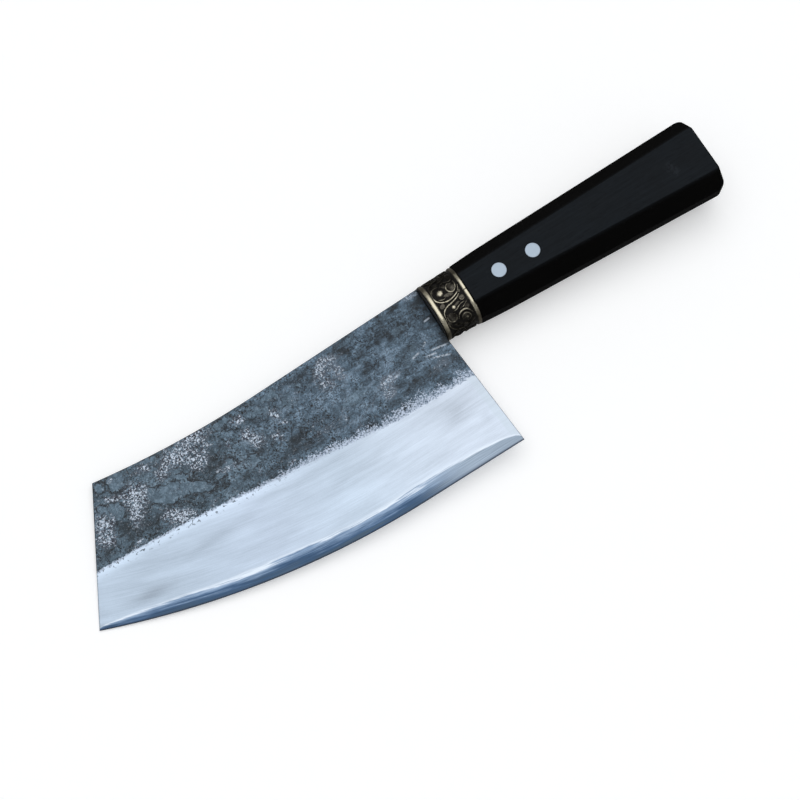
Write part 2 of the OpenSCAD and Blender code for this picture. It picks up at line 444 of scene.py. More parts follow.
def bevel_w(x):
    """Width of the polished bevel, which wavers a little and runs out at both corners"""
    at_tip = np.clip((x - tip_edge_corner[0]) / BEVEL_TIP_RUN, 0, 1) ** 0.42
    at_heel = np.clip((HEEL_BACK - x) / BEVEL_HEEL_RUN, 0, 1) ** 0.3
    return (BEVEL_W + hill(x, middle=-34, reach=22, height=0.4) + 0.25 * np.sin(x / 9)) * at_tip * at_heel


def half_thickness(x, y, seed):
    """Height of one side of the blade above its middle plane, with hammer marks and a hollow grind"""
    forged = FORGED_HALF_T + TAPER_ALONG * x + TAPER_ACROSS * y
    below = grind_y(x) + 0.35 * noise(x, 0 * x, 4, seed + 7, 2) - y
    scale = smooth(below, 0.6, -0.6)
    dents = 0.045 * noise(x, y, 15, seed, 2) + 0.02 * noise(x, y, 4, seed + 3, 3)
    pits = -0.05 * smooth(noise(x, y, 2.2, seed + 5, 2), 0.55, 0.95)
    scale_t = 0.02
    ground = forged - (GRIND_TAPER - TAPER_ACROSS) * np.maximum(below, 0) - scale_t
    ground = ground + 0.008 * noise(x / 6, y, 7, seed + 9)
    side = ground + scale * (dents + pits + scale_t)
    narrowest = 2.2
    share = np.clip(from_edge(x, y) / np.maximum(bevel_w(x), narrowest), 0, 1)
    return np.where(share < 1, EDGE_T / 2 + (side - EDGE_T / 2) * share, side)


def outward(points, side):
    """Unit vectors square to a line of points, on the given side of it"""
    run = np.gradient(points, axis=0)
    run /= np.linalg.norm(run, axis=1)[:, None]
    return side * np.stack([run[:, 1], -run[:, 0]], 1)


def joined(top, right, bottom, left):
    """One ring from four sides that run from the left to the right or from the top down"""
    return np.concatenate([top[:-1], right[:-1], bottom[:0:-1], left[:0:-1]])


def blade_grid():
    """A side of the blade as a grid of points, its outline as a ring, and how far in the grid stays"""
    u, v = np.linspace(0, 1, BLADE_COLUMNS), np.linspace(0, 1, BLADE_ROWS)
    top_x = tip_corner[0] * (1 - u)
    right_y = SPINE_RISE - v * (SPINE_RISE + HEEL_DEPTH)
    bottom_x = tip_edge_corner[0] + (HEEL_BACK - tip_edge_corner[0]) * u
    sides = [np.stack([top_x, spine_y(top_x)], 1), np.stack([heel_x(right_y), right_y], 1),
             np.stack([bottom_x, edge_y(bottom_x)], 1),
             tip_corner + v[:, None] * (tip_edge_corner - tip_corner)]
    insets = [np.full(BLADE_COLUMNS, RIM_R), np.where(right_y > NECK_Y, HIDDEN_RIM_R, RIM_R),
              np.full(BLADE_COLUMNS, EDGE_RIM_R), np.full(BLADE_ROWS, RIM_R)]
    # The back and the tip line run out into the thin edge, so their rounding stays below its thickness
    for k in (1, 3):
        insets[k] = np.minimum(insets[k], 0.8 * half_thickness(*sides[k].T, NEAR_SEED))
    outwards = [outward(side, way) for side, way in zip(sides, (-1, -1, 1, 1))]
    inner = [side - away * inset[:, None] for side, away, inset in zip(sides, outwards, insets)]
    # A corner is an end of two sides, each given as (side, end). Both are bent to one point there.
    for corner in (((0, 0), (3, 0)), ((0, -1), (1, 0)), ((2, 0), (3, -1)), ((2, -1), (1, -1))):
        square = np.stack([outwards[k][end] for k, end in corner])
        k, end = corner[0]
        meeting = sides[k][end] - np.linalg.solve(square, [insets[k][end] for k, end in corner])
        for k, end in corner:
            pull = np.linspace(end + 1, -end, len(inner[k])) ** 8
            inner[k] = inner[k] + pull[:, None] * (meeting - inner[k][end])
    top, right, bottom, left = inner
    u, v = u[None, :, None], v[:, None, None]
    grid = ((1 - v) * top[None] + v * bottom[None] + (1 - u) * left[:, None] + u * right[:, None]
            - (1 - u) * (1 - v) * top[0] - u * (1 - v) * top[-1]
            - (1 - u) * v * bottom[0] - u * v * bottom[-1])
    return grid.reshape(-1, 2), joined(*sides), joined(*insets)


def blade_mesh():
    grid, outline, insets = blade_grid()
    numbers = numbered(BLADE_ROWS, BLADE_COLUMNS)
    border = joined(numbers[0], numbers[:, -1], numbers[-1], numbers[:, 0])
    points, faces, rings, start = [], [], [], 0
    for side, seed in ((1, NEAR_SEED), (-1, FAR_SEED)):
        z = half_thickness(*grid.T, seed)
        points.append(np.column_stack([grid, side * z]))
        faces += quads(start + numbers, flip=side > 0)
        rim = [start + border]
        start += len(grid)
        for angle in math.pi / 2 * np.arange(1, RIM_STEPS + 1) / RIM_STEPS:
            place = grid[border] + (outline - grid[border]) * math.sin(angle)
            points.append(np.column_stack([place, side * (z[border] - insets * (1 - math.cos(angle)))]))
            rim.append(start + np.arange(len(border)))
            start += len(border)
        rings += rim[::side]
    faces += quads(np.array(rings), wrap=True)
    points = np.vstack(points)
    x, y, _ = points.T
    tip_far = (points[:, :2] - tip_corner) @ along(-TIP_LEAN)
    heel_far = heel_x(y) - x
    rim = np.minimum(np.minimum(spine_y(x) - y, tip_far), np.where(y > NECK_Y, FAR_OFF, heel_far))
    fields = {"run": x, "rim": rim, "heel": np.where(x > -20, heel_far, FAR_OFF),
              "grind": y - grind_y(x), "edge": from_edge(x, y), "bevel": from_edge(x, y) - bevel_w(x)}
    on_far_side = np.arange(len(x)) >= len(x) // 2
    for name, table in MARKS.items():
        fields[name] = marks(table, np.where(on_far_side, MARKS_TURNED - x, x), y)
    # Painted shadow of the ferrule on the blade, darkening it next to the ferrule
    fields["shades"] -= smooth(-x, 3.5, 0) * (y > NECK_Y - 3)
    return new_mesh("blade_steel", points, faces, fields)


def with_tang(mesh):
    """The blade with the tang of its solid, which is hidden in the handle"""
    tang = bmesh.new()
    tang.from_mesh(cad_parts["blade"].data)
    below_tang = NECK_Y + 2
    for place, normal in (((0, 0, 0), (1, 0, 0)), ((0, below_tang, 0), (0, 1, 0))):
        everything = tang.verts[:] + tang.edges[:] + tang.faces[:]
        bmesh.ops.bisect_plane(tang, geom=everything, plane_co=(ORIGIN + place) * MM, plane_no=normal,
                               clear_inner=True)
    bmesh.ops.holes_fill(tang, edges=[e for e in tang.edges if e.is_boundary])
    part = bpy.data.meshes.new("tang")
    tang.to_mesh(part)
    add_attribute(part, "grind", np.full(len(part.vertices), TANG_GRIND))
    both = bmesh.new()
    for each in (mesh, part):
        both.from_mesh(each)
    both.to_mesh(mesh)
    return mesh


# Marks on the blade: place along and across the knife, reach both ways, strength, turn in degrees.
# specks are places crowded with pale specks, islands are whole smooth scale, shades are lighter or
# darker clouds, of which the dark ones close to the ferrule are painted shadow, smudges lie on the
# ground steel, and worn is where the scale by the grind line is thin.
MARKS = {
    "specks": [
        (-110, 5.7, 6.5, 2.8, 0.9, -2), (-120, 2.4, 6, 3.4, 1, -12), (-112.8, -3.6, 5, 3.2, 0.8, 20),
        (-128.5, -0.4, 3, 2.6, 0.7), (-134, 5.6, 3.6, 1.8, 0.7, -10), (-142, -2.5, 5, 4.6, 0.95),
        (-145.1, -10, 5, 2.8, 0.85, 58), (-158.9, -5.4, 3.4, 3.4, 0.9), (-160.6, -12, 4, 3.8, 0.8),
        (-131.9, -18.2, 5.6, 2.8, 0.95, -30), (-127.6, -21.2, 4.2, 2, 0.8, -30),
        (-150.5, 1.2, 3.6, 1.5, 0.6, -20), (-91, -4.2, 3, 2.4, 0.8, 20),
        (-88.4, -8.8, 3.2, 2.4, 0.8, 20), (-92, 3, 3, 2, 0.55), (-81, -11, 3.4, 1.8, 0.5),
        (-77.2, -2.4, 1.6, 2.6, 0.9, 30), (-75.8, -7.6, 2.4, 0.9, 0.7, -32),
        (-51.6, 3.6, 3.6, 2.4, 1, 40), (-45.4, -1, 2, 3.4, 0.8, 20), (-46, 5.6, 3.6, 1.8, 0.8, -10),
        (-52, -3.6, 4.2, 3.2, 0.5), (-30, -14.7, 4.6, 1.7, 1.2, 6), (-32.2, -19.4, 3.2, 2.4, 0.8, 20),
        (-62, -19, 8, 1.6, 0.3, 2), (-3.4, 11.2, 3, 1, 1.4), (-9, -20.6, 5, 2.4, 0.3, 10)],
    "islands": [
        (-146, 6.6, 3.6, 5, 1.1, -30), (-152.2, -4.3, 4.2, 3.6, 1.1), (-153.2, 7.6, 2.2, 2.4, 0.8),
        (-156.6, -0.2, 1.8, 1.8, 0.8), (-132.6, -8.6, 7, 3.2, 1.05, -38), (-123.4, -9.8, 7, 3, 1, -28),
        (-116, -14.2, 4.4, 2.2, 0.7, -30), (-122.2, -5, 3.6, 1.1, 0.7, -25),
        (-130.4, 7.4, 4.6, 1.7, 0.8, -8), (-103, -11, 4, 3, 0.8, 10), (-108.8, -13.2, 2.4, 1.3, 0.75),
        (-137, -4.5, 1.8, 3.4, 0.5, 30), (-98, 5, 5.5, 2.4, 0.7, 5), (-84, 2, 5, 3, 0.7, -10),
        (-74.2, 5, 4, 2.4, 0.75), (-70, -0.8, 3.4, 3, 0.8, 20), (-94, -15, 5, 3, 0.7, 10),
        (-62, 2, 4, 2.4, 0.5, -15), (-46, -13.6, 8, 3.4, 0.7, 8), (-38, 8, 6, 2, 0.5, 5),
        (-15.4, 1.8, 5, 2, 0.75, 20), (-17, -11, 3, 7, 0.55, -38), (-30, -24, 5, 1.6, 0.4)],
    "shades": [
        (-3.1, 11.2, 4, 1.2, 1.3), (-30, -14.6, 6, 2, 1, 8), (-32.2, -19.4, 4, 2.6, 0.5, 8),
        (-151.5, -11, 3, 3.4, -1.2), (-150, -17, 4.4, 2.6, -1.3, 20), (-163, -17.6, 3.4, 2.2, -1.2),
        (-140.4, -12, 2.4, 4.4, -1.1, 20), (-141.4, -19.4, 4.4, 1.8, -1),
        (-113.6, -17.4, 7, 2.4, -0.9, -10), (-107.4, -5.4, 4.6, 3.4, -0.8),
        (-114.6, 1.8, 2, 1.5, -1.4), (-140, 4.8, 3.4, 2.6, -0.6), (-76.5, -17.8, 4, 3, -1.3),
        (-26, -22.5, 22, 2.6, -0.25, -4), (-27, 7.6, 2, 1, -1, 20), (-2, -1, 9, 9, -0.5),
        (-30, 3, 22, 6, -0.22), (-32, -17, 32, 6, 0.35, -2), (-120, -20.5, 18, 2.5, -0.4),
        (-80, 6, 12, 5, 0.25), (-12, 10.6, 2.4, 1, -1.2, 10), (-3, -1.1, 0.9, 1.1, -1),
        (-40.4, 4.8, 3.6, 2.2, -1.1, 20), (-36.4, -6.2, 4, 3, -0.6), (-33.4, -6, 3, 2.6, -0.6),
        (-52, -4.4, 4, 2.8, -0.6), (-98, -19.5, 5, 2, -0.8), (-62, -23, 8, 2, 0.3),
        (-86, -11, 6, 2, -0.4, 20), (-8.6, -21, 6, 2.4, -0.5, 20), (-66, 4, 4, 1.4, 0.3, 10),
        (-96, 8, 3, 1.6, -1), (-45.2, -14, 6, 3, 0.5, 8), (-9, -8, 2, 6, 0.5, -35)],
    "smudges": [
        (-156, -40.5, 9, 2.6, 1, -4), (-14.5, -41, 6, 3.4, 0.8, 10), (-3.9, -48.9, 2.6, 2, 0.5),
        (-123, -34.5, 13, 2, 0.5, 4), (-120, -55, 14, 2.5, 0.35, 8), (-70, -42, 18, 3, 0.3, 4)],
    "worn": [
        (-26, -27, 10, 9, 1), (-3, -31, 4, 9, 0.6), (-50, -29, 8, 9, 0.4), (-76, -27, 12, 9, 0.3)]}
# Thin bright scratches by the ferrule, from one end to the other, and their width
SCRATCHES = [
    ((-9.4, -13), (-0.6, -14.2)), ((-12.4, -14.4), (-6.4, -15.2)), ((-4.9, -1.3), (-1.3, -0.8)),
    ((-17.4, -12.4), (-12.6, -11.2)), ((-10.6, -10.6), (-8.2, -8.2)), ((-10.4, -16), (-1.6, -18.8))]
SCRATCH_W = 0.42


def marks(table, x, y):
    """How strong the marks of a table are at these places"""
    total = np.zeros_like(x)
    for at_x, at_y, reach_x, reach_y, strength, *turn in table:
        total += strength * np.exp(-oval_far(x, y, at_x, at_y, reach_x, reach_y, *turn))
    return total


def blade_values(g):
    """The coordinates, marks and noises that the parts of the blade's material share"""
    b = SimpleNamespace()
    b.run, b.grind, b.edge, b.bevel, b.rim, b.heel = g.attributes(
        "run", "grind", "edge", "bevel", "rim", "heel")
    b.specks, b.islands, b.shades, b.smudges, b.worn = g.attributes(*MARKS)
    b.tipward = g.step(b.run, -60, -120)
    b.calm = g.step(b.run, -72, -28)
    b.middle = g.noise(3.2, 4, 0.62, 0.5)
    b.fine = g.noise(0.7, 3, 0.75)
    b.grain = g.noise(0.85, 2, 0.6, 0.4)
    b.dots = g.noise(0.76, 2, 0.65, 0.6)
    b.lines = g.noise(0.3, 3, 0.75, where=g.flow(b.run, b.edge, 0.012))
    b.streaks = g.noise(2.6, 4, 0.6, where=g.flow(b.run, b.edge, 0.1))
    b.cloud = g.noise(9, 3, where=g.flow(b.run, b.edge, 0.33))
    # Places crowded with pale specks and dark gaps
    chance = g.step(g.noise(7, 3), 0.55, 0.74) * g.blend(b.calm, 0.5, 0.12)
    b.patch = (b.specks + chance) * g.step(g.noise(2, 3, 0.6), 0.28, 0.5)
    b.crowd = g.step(b.patch, 0.06, 0.5)
    # Smooth islands, where the scale is whole, and the parts of their borders that are broken
    b.field = b.islands + g.blend(b.tipward, 2.2, 1.3) * (g.noise(3.4, 4, 0.6, 1) - 0.5)
    b.island = g.step(b.field, 0.45, 0.49)
    b.broken = g.step(g.noise(4.5, 2), 0.44, 0.56)
    return b


def plain_scale(g, b):
    """Forge scale: slate with soft clouds, dragged towards the tip, and a fine fuzz over them"""
    broad = g.noise(12, 3, 0.55, 0.4, g.place((0.4, 1, 5), turn=-8))
    smear = g.noise(2.6, 4, 0.62, 0.3, g.place((0.3, 1, 5), turn=-22))
    tone = (0.51 + 0.75 * (broad - 0.5) + (b.middle - 0.5) + 0.17 * b.shades
            + g.blend(b.calm, 0.35, 1.1) * (smear - 0.5))
    scale = g.ramp(tone, (0.2, (0.012, 0.02, 0.028)), (0.4, (0.039, 0.064, 0.09)),
                   (0.54, (0.073, 0.117, 0.163)), (0.8, (0.15, 0.214, 0.284)))
    scale = g.mix(b.tipward, scale, (0.97, 0.96, 0.92), "MULTIPLY")
    gritty = (0.85 + 0.6 * b.crowd - 0.3 * b.calm) * (0.35 + 0.9 * g.step(g.noise(6, 3), 0.34, 0.64))
    pepper = (g.step(b.grain, 0.4, 0.53) - 0.75) * gritty
    return g.scaled(scale, 1.1 + 1.1 * pepper + (2 + 3 * gritty) * (b.fine - 0.5))


def scale_cracks(g, b):
    """Where the scale is dark: broken borders of the islands, hairline cracks and small flakes"""
    border = g.band(b.field, g.blend(b.tipward, 0.41, 0.39), 0.02, 0.04)
    border = border * (0.65 + 0.35 * b.tipward - 0.35 * b.calm) * (0.35 + 0.65 * b.broken)
    crack = g.band(g.noise(8, 4, 0.62, 1.2), 0.5, 0.004, 0.005)
    crack = crack * g.step(g.noise(15, 1), 0.44, 0.56)
    flake = g.step(g.noise(1.7, 4, 0.62, 0.7), 0.63, 0.655) * g.blend(b.calm, 0.85, 0.5)
    return g.largest(border, crack, flake)


def add_islands(g, b, scale, dark):
    """The scale with its smooth islands, the dark halo round them and the cracks"""
    halo = g.band(b.field, 0.33, 0.05, 0.14) * (0.3 + 0.7 * b.broken) * g.blend(b.tipward, 0.2, 0.8)
    scale = g.mix(halo, scale, (0.02, 0.025, 0.031))
    tone = 0.5 + 1.4 * (g.noise(2.2, 4, 0.65) - 0.5) + 1.1 * (b.fine - 0.5) + 0.1 * b.shades
    whole = g.ramp(tone, (0.25, (0.048, 0.079, 0.108)), (0.5, (0.086, 0.137, 0.184)),
                   (0.8, (0.155, 0.226, 0.292)))
    scale = g.mix(b.island * g.blend(b.calm, 0.92, 0.5), scale, whole)
    return g.mix(dark, scale, (0.01, 0.013, 0.019))


def add_specks(g, b, scale):
    """The scale with crowds of pale specks, the dark hollows between them, and scratches"""
    scale = g.mix(b.crowd * g.blend(b.calm, 0.3, 0.55), scale, (0.222, 0.285, 0.36))
    hollow = g.step(g.noise(0.95, 2, 0.6), 0.47, 0.53) * b.crowd * g.blend(b.calm, 1, 0.6)
    scale = g.mix(0.85 * hollow, scale, (0.02, 0.019, 0.03))
    speck = g.step(b.dots + 0.135 * g.math("MINIMUM", b.patch, 1) - 0.03 * b.calm, 0.615, 0.66)
    speck = speck * (0.2 + 0.8 * b.crowd) * g.blend(b.calm, 1, 0.75)
    scale = g.mix(speck, scale, g.mix(g.noise(1.1, 2), (0.29, 0.35, 0.44), (0.8, 0.89, 1)))
    for start, end in SCRATCHES:
        scratch = g.line(start, end, SCRATCH_W) * g.step(b.grain, 0.36, 0.52)
        scale = g.mix(0.75 * scratch, scale, (0.52, 0.58, 0.66))
    return scale


def ground_steel(g, b):
    """Ground steel: fine lines that follow the edge, soft streaks and smudges"""
    ground = g.ramp(g.step(b.run, -165, 5), (0, (0.345, 0.41, 0.49)), (0.3, (0.385, 0.449, 0.539)),
                    (0.62, (0.405, 0.475, 0.56)), (1, (0.475, 0.53, 0.61)))
    ground = g.mix(g.step(b.cloud, 0.35, 0.65), g.scaled(ground, 0.97), ground)
    shine = (1 + 0.36 * (b.cloud - 0.5) + 0.36 * (b.streaks - 0.5) + 0.5 * (b.lines - 0.5)
             + 0.12 * (g.noise(0.5, 2) - 0.5) - 0.24 * b.smudges
             + g.blend(b.tipward, 0.03, 0.3) * g.step(b.grind, -4.5, -0.5)
             + g.blend(b.tipward, -0.09, 0) * g.step(b.grind, -17, -3))
    ground = g.scaled(ground, shine)
    # A narrow flat down the back of the heel
    back = g.step(b.heel + 2 * (g.noise(5, 2) - 0.5), 4.2, 3.2)
    ground = g.mix(0.35 * back, ground, (0.4, 0.465, 0.51))
    # Dark drops of scale below the grind line, towards the tip
    drops = g.step(g.noise(1.3, 2, 0.5, 0.4), 0.6, 0.64) * g.step(b.grind, -3.4, -0.8) * b.tipward
    return g.mix(0.85 * drops, ground, (0.03, 0.035, 0.042))


def add_bevel(g, b, ground):
    """The steel with its polished bevel, whose dark blue, deeper towards the edge and greyer by the heel, is
    a painted reflection of dark surroundings
    """
    heelward = g.step(b.run, -50, -17)
    up = b.edge / (b.edge - b.bevel)
    feather = g.noise(1.5, 4, 0.65, where=g.flow(b.run, b.edge, 0.055))
    tone = 0.8 * up + 1.5 * (feather - 0.5) + 0.5 * (b.streaks - 0.5)
    # Painted reflection: the bevel's dark blue and grey stand for dark surroundings mirrored in it
    blue = g.ramp(tone, (0, (0.055, 0.082, 0.116)), (0.33, (0.04, 0.074, 0.134)),
                  (0.46, (0.062, 0.105, 0.18)), (0.58, (0.12, 0.178, 0.268)),
                  (0.7, (0.168, 0.238, 0.345)), (0.86, (0.25, 0.32, 0.43)))
    grey = g.mix(g.step(up, 0.03, 0.3), (0.12, 0.15, 0.2), (0.243, 0.298, 0.366))
    polished = g.scaled(g.mix(heelward, blue, grey), 1 + 1.5 * (b.lines - 0.5) + 0.5 * (b.cloud - 0.5))
    wander = up + g.blend(heelward, 1.3, 0.3) * (feather - 0.5)
    # Painted highlight: a pale line along the top of the bevel
    painted_highlight_line = g.band(wander, 1.12, 0, 0.22) * g.step(feather, 0.36, 0.56)
    ground = g.mix(painted_highlight_line, ground, (0.56, 0.62, 0.69))
    ground = g.mix(g.step(wander, 1.1, g.blend(heelward, 0.92, 0.98)), ground, polished)
    # Painted shade: a dark line along the cutting edge
    return g.mix(0.75 * g.step(b.edge, 0.8, 0.25), ground, (0.02, 0.026, 0.04))


def add_fringe(g, b, scale):
    """The scale with a pale fringe above the grind line, where it has worn thin"""
    reach = g.step(b.run, -175, -30) * (3 + 5 * b.worn + 9 * (g.noise(6, 2) - 0.5))
    fade = 1 - g.node("MapRange", {"Value": b.grind, "From Max": g.largest(reach, 0.9)})
    fringe = g.step(0.62 * fade + 1.9 * (b.dots - 0.5) + 0.8 * (b.middle - 0.5), 0.18, 0.38)
    pale = g.mix(g.step(0.5 * b.fine + 0.5 * b.grain, 0.4, 0.56), (0.13, 0.18, 0.25), (0.55, 0.63, 0.76))
    return g.mix(fringe * g.step(fade, 0, 0.15), scale, pale)


def blade_material():
    """Forge scale above a ragged grind line, ground steel and a polished bevel below it"""
    g = Graph("forged_steel", (1, 1, 5))
    b = blade_values(g)
    dark = scale_cracks(g, b)
    scale = add_specks(g, b, add_islands(g, b, plain_scale(g, b), dark))
    scale = add_fringe(g, b, scale)
    ground = add_bevel(g, b, ground_steel(g, b))
    ragged = b.grind + 2.4 * (g.noise(2.4, 3, 0.7) - 0.5) + 3 * (b.dots - 0.5)
    forged = g.step(ragged, -0.1, 0.15)
    # Painted shade: the rounded outline of the spine, tip and heel darkened, more on the scale than on the
    # ground
    rim = g.step(b.rim, 0.4, 0.05) * g.blend(forged, 0.35, 0.8)
    colour = g.mix(rim, g.mix(forged, ground, scale), (0.016, 0.018, 0.022))
    rough = g.blend(forged, 0.34 + 0.2 * (b.lines - 0.5) + 0.12 * (b.cloud - 0.5),
                    0.5 + 0.3 * (b.fine - 0.5) - 0.08 * b.island)
    relief = g.noise(0.9, 4, 0.7) + 0.35 * b.island - 0.4 * dark
    height = g.blend(forged, 0.1 * b.lines, relief - 0.5)
    return g.finish(Base_Color=colour, Metallic=g.blend(forged, 1, 0.35), Roughness=rough,
                    Normal=g.bump(height, 0.12, 0.7))


# The ferrule: points round it and along it, and how often the ornament goes round
FERRULE_ROUND = 576
FERRULE_ROWS = 133
REPEATS = 3
OVAL_FLAT = (FERRULE_H - FERRULE_T) / 2
# Depth of the ornament's ground, the two rims and how far their edges fall away
GROUND_DEPTH = 0.6
FRONT_RIM_W = 2.2
REAR_RIM_W = 1.9
RIM_SLOPE_W = 0.25
RIM_ROUNDING = 0.45
# A small nick in the rear rim: its place round the girth, its width and depth
NICK_S = -0.25
NICK_W = 0.16
NICK_DEPTH = 0.2
# Middle of the painted highlight, where the brass is also rubbed smoother, from the top of the ferrule round
# its girth
LIT_S = -2
# The ornament: running scrolls on the unrolled surface, x along the ferrule and s round it, from
# ORNAMENT_LOW on. Each stroke has its points and its half width in the middle.
ORNAMENT_LOW = -14.5
STROKES = [
    ([(6.3, 6.6), (4.6, 6.9), (3, 5.8), (2.3, 4), (2.5, 2), (3.8, 0.3), (5.6, -0.7), (7.6, -1),
      (9.8, -0.6), (11.8, 0.2), (13.2, 1.4), (14, 3)], 0.42),
    ([(3.9, 1.4), (5, 0.7), (6.4, 0.5), (7.4, 1.2)], 0.3),
    ([(11.9, 5), (10.6, 5.6), (9.4, 4.7), (9.1, 3.2), (10, 1.9), (11.4, 1.6), (12.7, 2.6), (13.3, 4.2),
      (13.2, 5.6)], 0.4),
    ([(6.9, 5.7), (8, 6.7), (9.3, 7.3), (10.3, 6.8)], 0.32),
    ([(10.5, 6.9), (11.7, 6.3), (12.8, 6.6), (13.6, 7.8)], 0.32),
    ([(2.6, 6.6), (3.1, 8.4), (4.5, 9.8), (6.3, 10.5), (8, 10)], 0.36),
    ([(6.2, 8), (7.4, 8.6), (8.8, 8.8), (10.4, 9.4), (11.6, 10.8)], 0.3),
    ([(2.7, -6.6), (2.9, -5.1), (3.9, -3.8), (5.6, -2.9), (7.6, -2.5), (9.4, -2), (11, -1.4),
      (12.4, -0.6)], 0.42),
    ([(12, -1.4), (11.7, -2.6), (12.5, -3.4), (13.7, -3)], 0.3),
    ([(6.8, -6), (8.4, -5.8), (9.8, -5), (11.2, -4.5), (12.6, -4.4)], 0.34),
    ([(9.6, -6.3), (11.2, -6.1), (12.6, -5.4), (13.8, -4.6)], 0.3),
    ([(3.6, -6.2), (3.2, -7.8), (3.8, -9.3), (5.1, -10), (6.5, -9.5), (7.1, -8.1), (6.6, -6.8)], 0.36),
    ([(7.4, -9.8), (8.2, -8.3), (9.8, -7.4), (11.6, -7.4), (13, -8.5), (13.8, -10.2)], 0.4),
    ([(8.8, -11), (9.2, -9.6), (10.6, -8.9), (12, -9.5), (12.6, -10.9), (11.9, -12.2),
      (10.6, -12.5)], 0.34),
    ([(2.7, -6.6), (2.3, -9), (2.8, -11.6), (4.2, -13.6), (6.2, -14.7), (8.4, -14.4)], 0.42),
    ([(4.8, -11.6), (6.2, -12.6), (7.6, -12.4)], 0.3),
    ([(8.6, -13.4), (10.2, -14.2), (12.2, -14), (13.6, -12.8)], 0.32)]
# Round bosses and leaf lobes: place, reach along and round the ferrule, height, turn in degrees
LOBES = [
    (5.9, 3.7, 1.75, 1.75, 0.6), (7.7, -4.5, 1.15, 1.1, 0.58), (11, -10.8, 0.9, 1, 0.55),
    (9.7, 11.7, 0.9, 0.9, 0.5), (5.1, -8, 1.8, 2.1, 0.4), (11.3, 3.7, 1.6, 1.8, 0.38),
    (3.9, -1.8, 1.4, 1.2, 0.34, 30), (8.6, 1.3, 2.3, 0.95, 0.34, -8), (9.4, -3.8, 2, 0.75, 0.36, 15),
    (12.9, -2.2, 1.2, 1, 0.36), (10.9, -10.8, 2, 2.1, 0.3), (8.4, 6, 0.9, 1.7, 0.34, 25),
    (12.6, 9.4, 1.2, 1.9, 0.36), (5.4, 8.6, 2, 1.2, 0.34, -20), (9.2, 11.2, 1.9, 1.7, 0.3),
    (13.2, 1, 0.8, 1.3, 0.34), (3.2, 6.2, 0.9, 1.3, 0.3), (12.9, -6.6, 1.3, 1, 0.36, 30),
    (6.6, -12.4, 1.9, 1.1, 0.34, -15), (3.2, -10.2, 0.9, 1.6, 0.34), (12.7, -13.6, 1.4, 0.8, 0.34, 20)]


def curve_through(points, steps=7):
    """Points on a smooth curve through the given ones"""
    p = np.array([points[0], *points, points[-1]], float)
    t = np.linspace(0, 1, steps, endpoint=False)[:, None]
    parts = [0.5 * (2 * b + (c - a) * t + (2 * a - 5 * b + 4 * c - d) * t ** 2
                    + (3 * b - a - 3 * c + d) * t ** 3)
             for a, b, c, d in zip(p, p[1:], p[2:], p[3:])]
    return np.vstack([*parts, p[-1:]])


def ornament(x, s, period):
    """Height of the ornament above its ground: strokes are beads with thin ends, and lobes are domes"""
    height = np.zeros_like(x)
    for turn in (-period, 0, period):
        for points, width in STROKES:
            line = curve_through(points) + [0, turn]
            part = np.clip(np.linspace(0, 1, len(line)), 0.08, 0.92)
            widths = 1.15 * width * (0.45 + 0.55 * np.sin(np.pi * part) ** 0.6)
            low, high = line.min(0) - 1, line.max(0) + 1
            inside = (x > low[0]) & (x < high[0]) & (s > low[1]) & (s < high[1])
            if not inside.any():
                continue
            far = np.hypot(x[inside][:, None] - line[:, 0], s[inside][:, None] - line[:, 1]) / widths
            bead = np.sqrt(np.clip(1 - far.min(1) ** 2, 0, None)) * (0.32 + 0.5 * widths[far.argmin(1)])
            height[inside] = np.maximum(height[inside], bead)
        for at_x, at_s, reach_x, reach_s, top, *tilt in LOBES:
            far = oval_far(x, s - turn, at_x, at_s, reach_x, reach_s, *tilt)
            height = np.maximum(height, top * np.sqrt(np.clip(1 - far, 0, None)))
    return height


def oval_point(s, r):
    """Point and outward direction on an oval of round ends of radius r, s from the top round its girth"""
    way, q = np.sign(s) + (s == 0), np.abs(s)
    angle = np.clip((q - OVAL_FLAT) / r, 0, math.pi)
    y = way * (np.minimum(q, OVAL_FLAT) - np.maximum(q - OVAL_FLAT - math.pi * r, 0))
    return y, way * np.sin(angle), np.cos(angle)


def oval_girth(r):
    return 2 * math.pi * r + 4 * OVAL_FLAT


def ferrule_relief(x, s, unrolled, period):
    """How far the surface lies inside the sleeve's outer face, and how much of it is ornament"""
    rear_rim_x = FERRULE_L - REAR_RIM_W
    field = (smooth(x, FRONT_RIM_W, FRONT_RIM_W + RIM_SLOPE_W)
             * smooth(x, rear_rim_x, rear_rim_x - RIM_SLOPE_W))
    local = (unrolled - ORNAMENT_LOW) % period + ORNAMENT_LOW
    ground = -GROUND_DEPTH + 0.03 * noise(x, unrolled, 0.7, 5, 2)
    front = np.abs(x - FRONT_RIM_W / 2) / (FRONT_RIM_W / 2)
    rear = np.abs(x - FERRULE_L + REAR_RIM_W / 2) / (REAR_RIM_W / 2)
    rim = -RIM_ROUNDING * np.minimum(front, rear).clip(0, 1) ** 2.6
    wear = 0.03 * noise(x, unrolled, 2.5, 8, 2)
    offset = rim * (1 - field) + (ground + ornament(x, local, period)) * field + wear
    nick = hill(s, NICK_S, NICK_W, NICK_DEPTH) * (x > rear_rim_x)
    return np.minimum(offset - nick, -0.01), field


